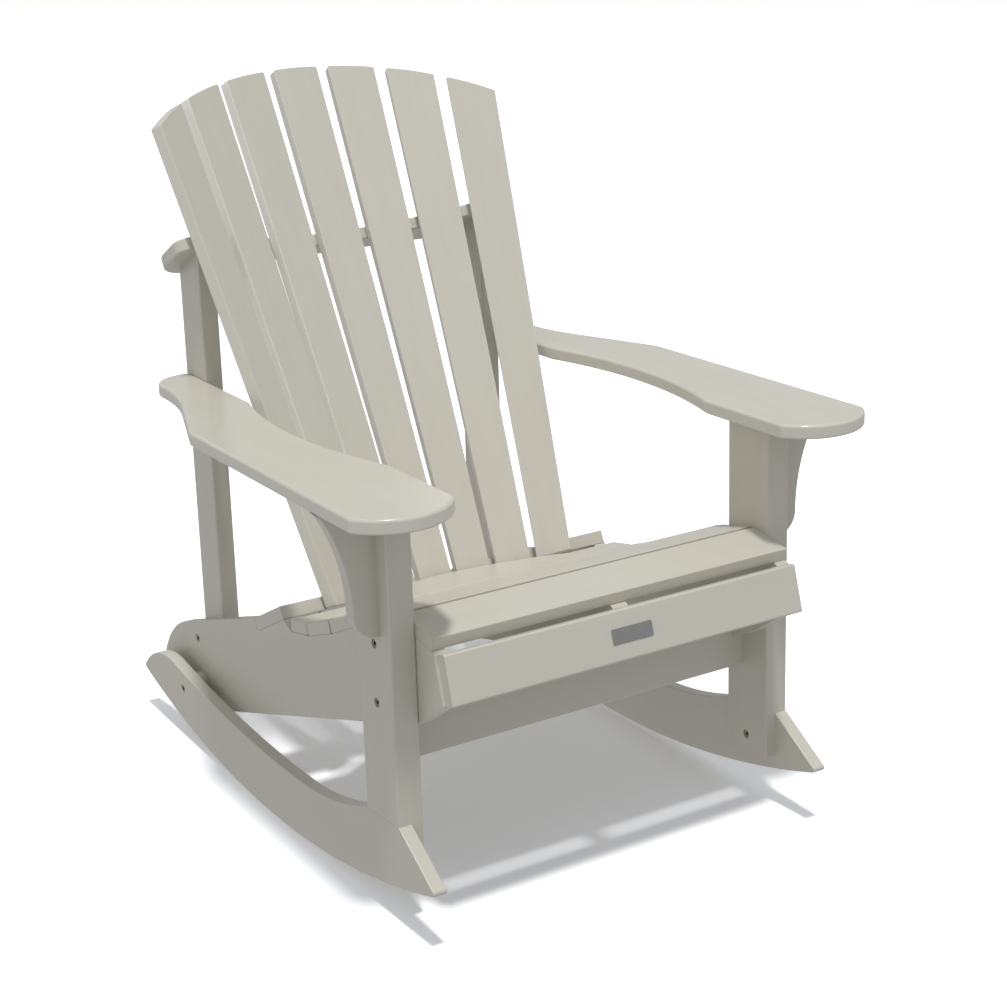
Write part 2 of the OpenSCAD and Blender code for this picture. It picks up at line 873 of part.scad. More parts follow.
// The last board is hollowed to follow the back
module seat_slat_6() {
    intersection() {
        seat_board(seat_count - 1);
        union() {
            fan_body(-seat_back_gap);
            translate([-frame_x, seat_rear_y - seat_pitch, 0])
                cube([frame_w, seat_pitch, seat_z]);
        }
    }
}

// Fan back

module slat_outline(step) {
    low = -board_t;
    crown = [
        -(fan_reach + crown_s) * sin(step * fan_spread),
        (fan_reach + crown_s) * cos(step * fan_spread) - fan_reach
    ];
    intersection() {
        polygon([
            [-slat_w(low) / 2, low],
            [slat_w(low) / 2, low],
            [slat_w(slat_l) / 2, slat_l],
            [-slat_w(slat_l) / 2, slat_l]
        ]);
        translate(crown) circle(crown_r, $fn = 720);
    }
}

module back_slat(number) {
    step = slat_steps[number - 1];
    color(board_col)
        difference() {
            slat_frame(step)
                translate([0, board_t, 0])
                    rotate([90, 0, 0])
                        linear_extrude(board_t) slat_outline(step);
            // the foot ends flush with the lower rail's underside
            back_frame()
                translate([-long / 2, -long / 2, -long]) cube(long);
            at_lower_back_screws(step) screw(pocket_screw_l);
            at_upper_back_screws(step) screw(pocket_screw_l);
        }
}

module back_slat_1() { back_slat(1); }
module back_slat_2() { back_slat(2); }
module back_slat_3() { back_slat(3); }
module back_slat_4() { back_slat(4); }
module back_slat_5() { back_slat(5); }
module back_slat_6() { back_slat(6); }
module back_slat_7() { back_slat(7); }

// Back rails, hollowed to seat the slats

module lower_back_rail() {
    color(board_col)
        difference() {
            back_frame()
                translate([-frame_x, -lower_rail_lead, 0])
                    cube([frame_w, lower_rail_w, board_t]);
            fan_body(board_t + slat_bow + rail_fit);
            for (step = slat_steps)
                at_lower_back_screws(step) screw(pocket_screw_l);
        }
}

module upper_back_rail() {
    half = upper_rail_l / 2;
    color(board_col)
        difference() {
            back_frame()
                translate([0, -upper_rail_lead, upper_rail_s])
                    linear_extrude(board_t)
                        difference() {
                            translate([-half, 0]) square([upper_rail_l, upper_rail_w]);
                            for (side = [0, 1])
                                mirror([side, 0]) {
                                    translate([half, 0])
                                        mirror([0, 1]) corner_waste(upper_front_r);
                                    translate([half, upper_rail_w])
                                        corner_waste(upper_rear_r);
                                }
                        }
            fan_body(board_t + slat_bow + rail_fit);
            for (step = slat_steps)
                at_upper_back_screws(step) screw(pocket_screw_l);
        }
}

// Bolts, nuts and screws

module leg_bolts() {
    color(steel_col)
        both_sides() at_leg_bolts() bolt(leg_t + board_t + washer_t + nut_h);
}

module foot_bolts() {
    color(steel_col) both_sides() at_foot_bolt() bolt(foot_bolt_l);
}

module rocker_bolts() {
    color(steel_col)
        both_sides() at_rocker_bolt() bolt(leg_t + board_t + post_t + washer_t + nut_h);
}

module post_bolts() {
    color(steel_col)
        both_sides() at_post_bolt() bolt(board_t + post_t + washer_t + nut_h);
}

module leg_nuts() {
    color(steel_col)
        both_sides() at_leg_bolts() translate([leg_t + board_t, 0, 0]) nut();
}

module rocker_nuts() {
    color(steel_col)
        both_sides() at_rocker_bolt() translate([leg_t + board_t + post_t, 0, 0]) nut();
}

module post_nuts() {
    color(steel_col)
        both_sides() at_post_bolt() translate([board_t + post_t, 0, 0]) nut();
}

module arm_screws() {
    color(steel_col)
        both_sides() {
            at_arm_post_screws() screw(screw_l);
            at_arm_leg_screws() screw(pocket_screw_l);
        }
}

module bracket_screws() {
    color(steel_col) both_sides() at_bracket_screws() screw(pocket_screw_l);
}

module stretcher_screws() {
    color(steel_col) both_sides() at_stretcher_screws() screw(pocket_screw_l);
}

module apron_screws() {
    color(steel_col) both_sides() at_apron_screws() screw(pocket_screw_l);
}

module seat_screws() {
    color(steel_col)
        for (i = [0:seat_count - 1]) {
            both_sides() at_seat_screw(i, frame_x - board_t / 2) screw(pocket_screw_l);
            at_seat_screw(i, 0) screw(pocket_screw_l);
        }
}

module lower_back_screws() {
    color(steel_col)
        for (step = slat_steps)
            at_lower_back_screws(step) screw(pocket_screw_l);
}

module upper_back_screws() {
    color(steel_col)
        for (step = slat_steps)
            at_upper_back_screws(step) screw(pocket_screw_l);
}

rocker_left();
rocker_right();
front_leg_left();
front_leg_right();
side_rail_left();
side_rail_right();
rear_post_left();
rear_post_right();
arm_left();
arm_right();
arm_bracket_left();
arm_bracket_right();
seat_rib();
front_apron();
name_plate();
front_stretcher();
lower_back_rail();
upper_back_rail();
seat_slat_1();
seat_slat_2();
seat_slat_3();
seat_slat_4();
seat_slat_5();
seat_slat_6();
back_slat_1();
back_slat_2();
back_slat_3();
back_slat_4();
back_slat_5();
back_slat_6();
back_slat_7();
rocker_spacers();
leg_bolts();
foot_bolts();
rocker_bolts();
post_bolts();
leg_nuts();
rocker_nuts();
post_nuts();
arm_screws();
bracket_screws();
stretcher_screws();
apron_screws();
seat_screws();
lower_back_screws();
upper_back_screws();
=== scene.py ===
# Rocking garden chair of moulded boards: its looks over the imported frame
import math
import bpy
import numpy as np
from mathutils import Matrix


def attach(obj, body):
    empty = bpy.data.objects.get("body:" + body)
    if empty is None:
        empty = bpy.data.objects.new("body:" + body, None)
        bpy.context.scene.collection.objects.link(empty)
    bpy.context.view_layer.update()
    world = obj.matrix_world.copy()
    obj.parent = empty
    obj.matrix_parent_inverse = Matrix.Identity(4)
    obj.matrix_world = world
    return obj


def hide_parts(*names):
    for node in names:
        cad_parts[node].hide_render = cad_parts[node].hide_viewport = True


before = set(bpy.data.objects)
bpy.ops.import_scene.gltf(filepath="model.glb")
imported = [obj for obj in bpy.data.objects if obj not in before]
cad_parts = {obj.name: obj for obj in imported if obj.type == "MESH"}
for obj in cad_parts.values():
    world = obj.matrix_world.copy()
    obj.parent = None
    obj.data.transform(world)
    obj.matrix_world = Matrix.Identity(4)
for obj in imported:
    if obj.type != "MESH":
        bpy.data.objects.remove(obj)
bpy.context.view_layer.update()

mm = 0.001

# Shared measures, in millimetres and degrees, as the construction has them. Easing is the
# radius of a board's rounded edge; each board has its own in its dictionary.
chair = {
    "board": 20.0, "railOut": 283.0, "rockerIn": 300.0, "legOut": 320.0,
    "touchY": 29.5, "soleR": 1504.0, "railLift": 20.0,
    "footY": 50.5, "footZ": 275.7, "recline": 27.4,
    "fanR": 339.0, "fanStep": 10.72, "fanCone": 11.23,
}
boltHole = {"radius": 6.7, "lip": 0.8, "depth": 6.5}


# Drawing

def unit(v):
    return v / np.maximum(np.linalg.norm(v, axis=-1, keepdims=True), 1e-12)


def arc(centre, radius, start, end, step=4.0):
    # points of a circle, centre + radius * (cos a, sin a), a from start to end degrees
    a = np.radians(np.linspace(start, end, max(3, int(abs(end - start) / step) + 2)))
    return np.stack([centre[0] + radius * np.cos(a), centre[1] + radius * np.sin(a)], 1)


def bearing(centre, point):
    # direction in degrees from a centre to a point
    return math.degrees(math.atan2(point[1] - centre[1], point[0] - centre[0]))


def laid(outline, axis, place):
    # a flat drawing laid square to axis 0, 1 or 2, at a place on it
    return np.insert(np.asarray(outline, float), axis, place, axis=1)


def roundCorners(loops, radii, turn=20.0, points=7):
    # each corner that turns by more than turn degrees becomes an arc: its centre lies on
    # the bisector, radius / cos(half the turn) away, and it sweeps from edge to edge
    def edges(loop):
        into = unit(loop - np.roll(loop, 1, 0))
        out = unit(np.roll(loop, -1, 0) - loop)
        return into, out, np.arccos(np.clip((into * out).sum(1), -1, 1))

    radii = np.broadcast_to(np.asarray(radii, float), len(loops[0]))
    sharp = (edges(loops[0])[2] > math.radians(turn)) & (radii > 0)
    counts = np.where(sharp, points, 1)
    index = np.repeat(np.arange(len(sharp)), counts)
    w = (np.arange(counts.sum()) - np.repeat(np.cumsum(counts) - counts, counts))[:, None] / (points - 1)
    made = []
    for loop in loops:
        into, out, angle = edges(loop)
        angle = np.maximum(angle, 1e-6)
        centre = loop + unit(out - into) * (radii / np.cos(angle / 2))[:, None]
        reach = (radii * np.tan(angle / 2))[:, None]
        start, end, a = loop - into * reach - centre, loop + out * reach - centre, angle[index][:, None]
        swept = (np.sin((1 - w) * a) * start[index] + np.sin(w * a) * end[index]) / np.sin(a)
        made.append(np.where(sharp[index][:, None], centre[index] + swept, loop[index]))
    return made


# Boards

def ringFaces(number):
    # quads between each ring of vertex numbers and the next, closed round
    beside = np.roll(number, -1, 1)
    return np.stack([number[:-1], number[1:], beside[1:], beside[:-1]], -1).reshape(-1, 4).tolist()


def boredFace(ring, points, bore, lip):
    # a flat face with a hole, as two faces that meet above and below the hole
    offset = points - bore["at"]
    u, v = bore["u"], bore["v"]
    score = np.abs(offset @ u) + 0.2 * np.abs(offset @ v)
    top = int(np.argmin(np.where(offset @ v > 0, score, np.inf)))
    low = int(np.argmin(np.where(offset @ v < 0, score, np.inf)))
    around = np.roll(ring, -top).tolist()
    cut = (low - top) % len(ring)
    q, lip = len(lip) // 4, lip.tolist()  # a quarter of the hole, and its edge's vertex numbers
    left = around[:cut + 1] + lip[3 * q:q - 1:-1]
    right = around[cut:] + around[:1] + lip[q::-1] + lip[:3 * q - 1:-1]
    return [left, right]


def easedBoard(name, front, back, outward, ease, backEase=None, steps=4, boreAt=None):
    # The edge's profile is carried round the outline. With t from 0 to 90 degrees it lies
    # radius * (1 - sin t) inside the outline and radius * (1 - cos t) below the face, so it
    # runs from the front face over the rounding to the side, and likewise to the back face.
    outward = unit(np.asarray(outward, float))
    if (np.cross(front, np.roll(front, -1, 0)) @ outward).sum() < 0:
        front, back = front[::-1], back[::-1]
    through = unit(back - front)
    t = np.radians(np.linspace(0, 90, steps + 1))[:, None, None]

    def rim(loop, face, radius):
        along = unit(np.roll(loop, -1, 0) - np.roll(loop, 1, 0))
        inPlane = unit(np.cross(along, outward))
        side = unit(np.cross(along, -through))
        p = loop - inPlane * radius * (1 - np.sin(t)) + through * face * radius * (1 - np.cos(t))
        return p, outward * face * np.cos(t) + side * np.sin(t)

    frontRings, frontShades = rim(front, 1, ease)
    backRings, backShades = rim(back, -1, ease if backEase is None else backEase)
    rings = np.concatenate([frontRings, backRings[::-1]])
    shades = np.concatenate([frontShades, backShades[::-1]]).reshape(-1, 3)
    number = np.arange(rings.shape[0] * rings.shape[1]).reshape(rings.shape[:2])
    faces = ringFaces(number)
    points = rings.reshape(-1, 3)
    if boreAt is None:
        faces.append(number[0].tolist())
    else:
        # the hole's wall: at + ray * (radius + lip * (1 - sin t)), sunk by lip * (1 - cos t)
        sides, r, lip = 48, boltHole["radius"], boltHole["lip"]
        at, u = np.asarray(boreAt, float), unit(np.cross([0, 0, 1.0], outward))
        bore = {"at": at, "u": u, "v": np.cross(outward, u)}
        a = np.linspace(0, 2 * math.pi, sides, endpoint=False)[:, None]
        ray = u * np.cos(a) + bore["v"] * np.sin(a)
        wall = at + ray * (r + lip * (1 - np.sin(t))) - outward * lip * (1 - np.cos(t))
        floor = at + ray * r - outward * boltHole["depth"]
        bowl = len(points) + np.arange((steps + 2) * sides).reshape(steps + 2, sides)
        faces += [q[::-1] for q in ringFaces(bowl)]
        faces.append((bowl[-1] + sides).tolist())  # the floor, on points of its own
        points = np.concatenate([points, wall.reshape(-1, 3), floor, floor])
        shades = np.concatenate([shades, (outward * np.cos(t) - ray * np.sin(t)).reshape(-1, 3),
                                 -ray, np.repeat(outward[None], sides, 0)])
        faces += boredFace(number[0], rings[0], bore, bowl[0])
    faces.append(number[-1][::-1].tolist())
    mesh = bpy.data.meshes.new(name)
    mesh.from_pydata((points * mm).tolist(), [], faces)
    mesh.polygons.foreach_set("use_smooth", np.ones(len(mesh.polygons), bool))
    mesh.normals_split_custom_set_from_vertices(unit(shades).tolist())
    piece = bpy.data.objects.new(name, mesh)
    bpy.context.scene.collection.objects.link(piece)
    return piece


# Shader sums

class Wire:
    # a socket that takes part in sums: each operator adds its Math node
    def __init__(self, finish, socket):
        self.finish, self.socket = finish, socket

    def sum(self, operation, *values):
        made = self.finish.node("ShaderNodeMath", {"operation": operation}, dict(enumerate(values)))
        return Wire(self.finish, made.outputs[0])

    def __add__(self, other): return self.sum("ADD", self, other)
    def __radd__(self, other): return self.sum("ADD", other, self)
    def __sub__(self, other): return self.sum("SUBTRACT", self, other)
    def __rsub__(self, other): return self.sum("SUBTRACT", other, self)
    def __mul__(self, other): return self.sum("MULTIPLY", self, other)
    def __rmul__(self, other): return self.sum("MULTIPLY", other, self)


class Finish:
    # the nodes of one material, or of the world's light
    def __init__(self, owner):
        owner.use_nodes = True
        self.owner, self.tree = owner, owner.node_tree
        self.tree.nodes.clear()

    def node(self, kind, settings=None, inputs=None):
        made = self.tree.nodes.new(kind)
        for key, value in (settings or {}).items():
            setattr(made, key, value)
        for key, value in (inputs or {}).items():
            if isinstance(value, Wire):
                self.tree.links.new(value.socket, made.inputs[key])
            else:
                made.inputs[key].default_value = value
        return made

    def wire(self, kind, settings=None, inputs=None, output=0):
        return Wire(self, self.node(kind, settings, inputs).outputs[output])

    def here(self):
        return self.wire("ShaderNodeTexCoord", None, None, "Object")

    def noise(self, vector, scale, detail):
        return self.wire("ShaderNodeTexNoise", None, {"Vector": vector, "Scale": scale, "Detail": detail}, "Fac")

    def mixColour(self, factor, first, second):
        first, second = (c if isinstance(c, Wire) else c + (1.0,) for c in (first, second))
        return self.wire("ShaderNodeMix", {"data_type": "RGBA"}, {0: factor, 6: first, 7: second}, 2)

    def bump(self, height, strength, distance):
        return self.wire("ShaderNodeBump", None, {"Strength": strength, "Distance": distance, "Height": height})

    def surface(self, **sockets):
        inputs = {key.replace("_", " "): value for key, value in sockets.items()}
        shader = self.wire("ShaderNodeBsdfPrincipled", None, inputs)
        self.node("ShaderNodeOutputMaterial", None, {"Surface": shader})
        return self.owner


# Finishes

# of the colours, the third is a pale tone painted on the boards' sides as light on them
boardLook = {
    "pale": (0.625, 0.600, 0.520), "deep": (0.560, 0.535, 0.458), "paintedSideTone": (0.98, 0.96, 0.89),
    "streaks": (5.0, 46.0, 46.0), "lines": (9.0, 520.0, 520.0), "cloud": (7.0, 9.0, 9.0), "stipple": 1500.0,
    "streakTone": 0.55, "lineTone": 0.25, "cloudTone": 0.35, "darker": 0.08, "shiftTone": 0.02,
    "roughness": 0.32, "streakRough": 0.10, "stippleRough": 0.06, "bump": 0.10, "relief": 0.0004,
}


def boardFinish(name, grain, outward, at, shift=0.0, paintedSideLight=0.0, gloss=0.0):
    # moulded board: pale streaks and hair lines drawn out along the board, over a faint
    # stipple. The pattern's X runs with the grain, in the board's own directions, and its
    # origin is at. A share of painted light makes the faces turned away from outward paler, and gloss takes
    # roughness off.
    grain, outward = unit(np.asarray(grain, float)), unit(np.asarray(outward, float))
    turn = Matrix(np.stack([grain, np.cross(outward, grain), outward], 1).tolist()).to_euler()
    f = Finish(bpy.data.materials.new(name))
    here = f.here()
    own = f.wire("ShaderNodeMapping", {"vector_type": "TEXTURE"},
                 {"Vector": here, "Location": tuple(np.asarray(at, float) * mm), "Rotation": tuple(turn)})

    def drawn(kind, detail, offset):
        place = (offset, offset * 0.7, 0)
        spread = f.wire("ShaderNodeMapping", None, {"Vector": own, "Scale": boardLook[kind], "Location": place})
        return f.noise(spread, 1.0, detail)

    streaks = drawn("streaks", 3.0, shift)
    lines = drawn("lines", 2.0, shift + 3.1)
    cloud = drawn("cloud", 2.0, shift + 7.7)
    stipple = f.noise(here, boardLook["stipple"], 1.0)
    tone = streaks * boardLook["streakTone"] + lines * boardLook["lineTone"] + cloud * boardLook["cloudTone"] \
        + (shift * boardLook["shiftTone"] - boardLook["darker"])
    colour = f.mixColour(tone, boardLook["deep"], boardLook["pale"])
    if paintedSideLight:
        # painted light on the sides: faces are lightened by how far they turn away from outward, 1 - (normal .
        # outward) squared
        facing = f.wire("ShaderNodeNewGeometry", None, None, "Normal")
        inputs = {0: facing, 1: tuple(outward)}
        square = f.wire("ShaderNodeVectorMath", {"operation": "DOT_PRODUCT"}, inputs, "Value")
        edge = (1.0 - square * square) * paintedSideLight
        colour = f.mixColour(edge, colour, boardLook["paintedSideTone"])
    bump = f.bump(lines * 0.5 + stipple * 0.5, boardLook["bump"], boardLook["relief"])
    rough = (streaks - 0.5) * boardLook["streakRough"] + (stipple - 0.5) * boardLook["stippleRough"] \
        + (boardLook["roughness"] - gloss)
    return f.surface(Base_Color=colour, Roughness=rough, Normal=bump)


plateLook = {
    "pale": (0.36, 0.36, 0.355), "deep": (0.25, 0.25, 0.25), "brush": (60.0, 2600.0, 2600.0), "cloud": 60.0,
    "metal": 0.55, "roughness": 0.34, "brushRough": 0.16, "bump": 0.15, "relief": 0.0001,
}


def plateFinish():
    # brushed grey metal, drawn along X: fine lines over a soft cloud
    f = Finish(bpy.data.materials.new("bare plate"))
    here = f.here()
    brush = f.noise(f.wire("ShaderNodeMapping", None, {"Vector": here, "Scale": plateLook["brush"]}), 1.0, 3.0)
    cloud = f.noise(here, plateLook["cloud"], 2.0)
    colour = f.mixColour(brush * 0.7 + cloud * 0.4 - 0.05, plateLook["deep"], plateLook["pale"])
    bump = f.bump(brush, plateLook["bump"], plateLook["relief"])
    rough = plateLook["roughness"] + brush * plateLook["brushRough"]
    return f.surface(Base_Color=colour, Metallic=plateLook["metal"], Roughness=rough, Normal=bump)


steelLook = {
    "bright": (0.62, 0.53, 0.36), "dull": (0.24, 0.21, 0.16), "cloud": 420.0, "marks": 2600.0,
    "roughness": 0.28, "cloudRough": 0.2, "bump": 0.2, "relief": 0.0001,
}


def steelFinish():
    # plated steel with a brassy cast, duller in patches, turned marks as a fine bump
    f = Finish(bpy.data.materials.new("plated steel"))
    here = f.here()
    cloud, marks = f.noise(here, steelLook["cloud"], 3.0), f.noise(here, steelLook["marks"], 2.0)
    colour = f.mixColour(cloud * 1.5 - 0.25, steelLook["dull"], steelLook["bright"])
    bump = f.bump(marks, steelLook["bump"], steelLook["relief"])
    rough = steelLook["roughness"] + cloud * steelLook["cloudRough"]
    return f.surface(Base_Color=colour, Metallic=1.0, Roughness=rough, Normal=bump)


spacerLook = {"pale": (0.54, 0.515, 0.445), "deep": (0.44, 0.42, 0.36), "cloud": 180.0,
              "roughness": 0.5, "cloudRough": 0.2}


def spacerFinish():
    # moulded discs in the boards' own tone, matt with a slight cloud
    f = Finish(bpy.data.materials.new("moulded spacer"))
    cloud = f.noise(f.here(), spacerLook["cloud"], 3.0)
    colour = f.mixColour(cloud, spacerLook["deep"], spacerLook["pale"])
    return f.surface(Base_Color=colour, Roughness=spacerLook["roughness"] + cloud * spacerLook["cloudRough"])


def paint(thing, material):
    thing.data.materials.clear()
    thing.data.materials.append(material)


def dress(piece, node, finish):
    # a finished piece takes its node's place, and rides as the node does
    paint(piece, finish)
    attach(piece, "root")
    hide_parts(node)


def bothSides(make):
    # the right-hand board, and its mirror image on the left
    make(1, "right")
    make(-1, "left")


print("drawing and finishes ready")


# Rockers

rocker = {
    "frontY": -461.5, "rearY": 483.0, "tipZ": 88.0, "lapFront": (-378.0, 143.0), "lapRear": (-292.0, 138.5),
    "hollowR": 2300.0, "waist": (-9.0, 91.5), "neckR": 560.0, "neckY": -89.0, "tailR": 142.0, "tailY": 356.0,
    "cornerR": 4.0, "ease": 1.6, "bolt": (325.0, 86.0),
    "grainAt": (310.0, 0.0, 60.0), "shift": {"right": 1.3, "left": -1.3},
}


def rockerOutline():
    # sole, rear end, hollow top edge, sweep up to the leg's lap, sloping front end
    sole = (chair["touchY"], chair["soleR"])
    soleZ = lambda y: sole[1] - math.sqrt(chair["soleR"] ** 2 - (y - sole[0]) ** 2)
    hollow = np.array([rocker["waist"][0], rocker["waist"][1] + rocker["hollowR"]])
    toNeck = math.asin((rocker["waist"][0] - rocker["neckY"]) / rocker["hollowR"])
    toTail = math.asin((rocker["tailY"] - rocker["waist"][0]) / rocker["hollowR"])
    neck = hollow - (rocker["hollowR"] - rocker["neckR"]) * np.array([math.sin(toNeck), math.cos(toNeck)])
    tail = hollow + (rocker["hollowR"] + rocker["tailR"]) * np.array([math.sin(toTail), -math.cos(toTail)])
    tailZ = tail[1] + math.sqrt(rocker["tailR"] ** 2 - (rocker["rearY"] - tail[0]) ** 2)
    ends = [bearing(sole, (y, soleZ(y))) for y in (rocker["frontY"], rocker["rearY"])]
    neckTurn, tailTurn = -90 - math.degrees(toNeck), -90 + math.degrees(toTail)
    return np.concatenate([
        arc(sole, chair["soleR"], ends[0], ends[1], 1.0),
        arc(tail, rocker["tailR"], bearing(tail, (rocker["rearY"], tailZ)), bearing(tail, hollow), 3.0),
        arc(hollow, rocker["hollowR"], tailTurn, neckTurn, 0.6)[1:],
        arc(neck, rocker["neckR"], neckTurn, bearing(neck, rocker["lapRear"]), 1.5)[1:-1],
        [rocker["lapRear"], rocker["lapFront"], (rocker["frontY"], rocker["tipZ"])],
    ])


def makeRocker(side, hand):
    outline = roundCorners([rockerOutline()], rocker["cornerR"])[0]
    piece = easedBoard("Rocker_" + hand, laid(outline, 0, side * chair["legOut"]),
                       laid(outline, 0, side * chair["rockerIn"]), (side, 0, 0), rocker["ease"],
                       boreAt=(side * chair["legOut"],) + rocker["bolt"])
    at = rocker["grainAt"] * np.array([side, 1, 1])
    dress(piece, "rocker_" + hand,
          boardFinish("rocker board " + hand, (0, 1, 0), (side, 0, 0), at, rocker["shift"][hand]))


bothSides(makeRocker)


# Seat line and side rails

seat = {
    "start": (-421.5, 407.5), "pitch": 76.0, "gap": 4.5, "thick": 18.0,
    "slopes": (10.5, -14.0, -23.5, -25.0, -20.5, -11.5), "rearY": -12.0, "backGap": 6.0,
    "edgeR": (1.5, 1.8, 1.8, 2.5), "endEase": 0.8, "rearR": 4.0, "rearEase": 3.0, "rearUnderEase": 2.0,
    "shift": 1.9, "rearGrainAt": (0.0, -40.0, 320.0), "rearShift": 9.4,
}
slopes = np.radians(seat["slopes"])
last = len(slopes) - 1  # the rear seat board, under the back
seatDirs = np.stack([np.cos(slopes), np.sin(slopes)], 1)
seatPoints = np.concatenate([[seat["start"]], seat["start"] + np.cumsum(seat["pitch"] * seatDirs, 0)])
jointSlopes = np.concatenate([slopes[:1], (slopes[:-1] + slopes[1:]) / 2, slopes[-1:]])
before = np.concatenate([slopes[:1], slopes])  # the slope of the board in front of each joint
seatUnder = seatPoints + (seat["thick"] / np.cos(jointSlopes - before))[:, None] \
    * np.stack([np.sin(jointSlopes), -np.cos(jointSlopes)], 1)


def lastUnderZ(y):
    # height of the last seat board's underside
    return seatUnder[last][1] + (y - seatUnder[last][0]) * math.tan(slopes[last])


recline = math.radians(chair["recline"])
backUp = np.array([math.sin(recline), math.cos(recline)])
backOut = np.array([math.cos(recline), -math.sin(recline)])
foot = np.array([chair["footY"], chair["footZ"]])
lowerRail = {"s": 0.0, "long": 2 * chair["railOut"], "wide": 102.0, "lead": 43.0, "frontR": 2.0, "rearR": 2.0,
             "hollowR": 4.5, "ease": 1.1, "shift": 4.2}
lowerFront = foot - lowerRail["lead"] * backOut
lowerRear = lowerFront + lowerRail["wide"] * backOut
lowerRearTop = lowerRear + chair["board"] * backUp

rail = {
    "slope": 18.8, "high": 148.0, "kneeY": -374.0, "restFront": (-329.0, 252.4), "restRear": (-307.0, 252.4),
    "noseR": 168.0, "noseY": 386.0, "noseEnd": -60.0, "soleEnd": -96.0, "tipRoom": 9.0,
    "apron": (-457.4, 327.7), "apronH": 67.0, "apronT": 17.0, "apronLean": 15.6,
    "cornerR": 4.0, "ease": 1.1, "bolt": (338.0, 160.0),
    "grainAt": (273.0, 0.0, 250.0), "shift": {"right": 7.1, "left": 2.9},
}
fall, lean = math.radians(rail["slope"]), math.radians(rail["apronLean"])
leanUp, leanOut = np.array([math.sin(lean), math.cos(lean)]), np.array([-math.cos(lean), math.sin(lean)])


def railOutline():
    # the apron's back, the underside's knee, its level rest on the stretcher, the arc over the
    # rocker, the nose's arc, the lower back rail's end and the seat line
    lowFront = rail["apron"] - rail["apronT"] * leanOut
    topZ = lambda y: lowerRearTop[1] - (y - lowerRearTop[0]) * math.tan(fall)
    lowZ = lambda y: topZ(y) - rail["high"] / math.cos(fall)
    nose = np.array([rail["noseY"] - rail["noseR"] * math.sin(fall),
                     topZ(rail["noseY"]) - rail["noseR"] * math.cos(fall)])
    sole, soleR = (chair["touchY"], chair["soleR"]), chair["soleR"] - chair["railLift"]
    # fine steps find where the two arcs meet; the nose keeps every fourth point
    noseArc = arc(nose, rail["noseR"], 90 - rail["slope"], rail["noseEnd"], 0.25)
    noseArc = noseArc[np.hypot(noseArc[:, 0] - sole[0], noseArc[:, 1] - sole[1]) < soleR]
    soleArc = arc(sole, soleR, bearing(sole, noseArc[-1]), rail["soleEnd"], 0.5)
    soleArc = soleArc[soleArc[:, 1] > lowZ(soleArc[:, 0])]
    tip = soleArc[:1]
    # leaves room for the corner's rounding where the two arcs meet
    clear = lambda points: points[np.hypot(*(points - tip).T) > rail["tipRoom"]]
    return np.concatenate([
        [lowFront + rail["apronH"] * leanUp, lowFront, (rail["kneeY"], lowZ(rail["kneeY"]))],
        [rail["restFront"], rail["restRear"]], clear(soleArc)[::-1], tip, clear(noseArc[::4])[::-1],
        [lowerRearTop, lowerRear, lowerFront, (seat["rearY"], lastUnderZ(seat["rearY"]))], seatUnder[last::-1],
    ])


def makeRail(side, hand):
    outline = roundCorners([railOutline()], rail["cornerR"], turn=40.0)[0]
    piece = easedBoard("SideRail_" + hand, laid(outline, 0, side * chair["railOut"]),
                       laid(outline, 0, side * (chair["railOut"] - chair["board"])), (side, 0, 0), rail["ease"],
                       boreAt=(side * chair["railOut"],) + rail["bolt"])
    grain, at = (0, math.cos(fall), -math.sin(fall)), rail["grainAt"] * np.array([side, 1, 1])
    dress(piece, "side_rail_" + hand,
          boardFinish("rail board " + hand, grain, (side, 0, 0), at, rail["shift"][hand]))


bothSides(makeRail)
print("rockers and side rails made")


# Arms and their brackets

# the arm's sides and rounded edges are lightened by a small share of painted light
arm = {
    "outX": 400.0, "topZ": 594.0, "frontAt": (326.5, -393.5), "frontR": 85.5, "breakR": 6.0,
    "slopeY": 27.0, "slopeR": 12.0, "waistY": 228.7, "waistR": 370.0, "tailX": 329.0, "rearY": 344.0, "rearR": 48.0,
    "postX": 263.0, "postR": 6.0, "scoopR": 695.0, "scoopAt": (288.0, -62.0), "scoopEndX": 253.5,
    "ease": 4.5, "underEase": 3.0, "paintedSideLight": 0.14, "gloss": 0.10,
    "grainAt": (330.0, 0.0, 584.0), "shift": {"right": 3.8, "left": 2.2},
}


def armOutline():
    # a wide arc in front that breaks off at the straight edges, a slope and a hollow to the
    # narrow tail, and the scooped inner edge
    scoop = (arm["scoopAt"][0] - arm["scoopR"], arm["scoopAt"][1])
    dip = lambda x: math.degrees(math.acos((x - scoop[0]) / arm["scoopR"]))
    turn = math.degrees(math.acos((arm["outX"] - arm["frontAt"][0]) / arm["frontR"]))
    front = arc(arm["frontAt"], arm["frontR"], turn - 180, -turn, 4.0)
    parts = [
        (front[:1], arm["breakR"]), (front[1:-1], 0.0), (front[-1:], arm["breakR"]),
        ([(arm["outX"], arm["slopeY"])], arm["slopeR"]), ([(arm["tailX"], arm["waistY"])], arm["waistR"]),
        ([(arm["tailX"], arm["rearY"])], arm["rearR"]), ([(arm["postX"], arm["rearY"])], arm["postR"]),
        (arc(scoop, arm["scoopR"], dip(arm["postX"]), -dip(arm["scoopEndX"]), 1.2), 0.0),
    ]
    return np.concatenate([p for p, r in parts]), np.concatenate([np.full(len(p), r) for p, r in parts])


def makeArm(side, hand):
    outline, radii = armOutline()
    outline = roundCorners([outline], radii, turn=10.0, points=15)[0] * [side, 1]
    piece = easedBoard("Arm_" + hand, laid(outline, 2, arm["topZ"]), laid(outline, 2, arm["topZ"] - chair["board"]),
                       (0, 0, 1), arm["ease"], arm["underEase"], steps=6)
    at, look = arm["grainAt"] * np.array([side, 1, 1]), (arm["shift"][hand], arm["paintedSideLight"], arm["gloss"])
    dress(piece, "arm_" + hand, boardFinish("arm board " + hand, (0, 1, 0), (0, 0, 1), at, *look))


bothSides(makeArm)

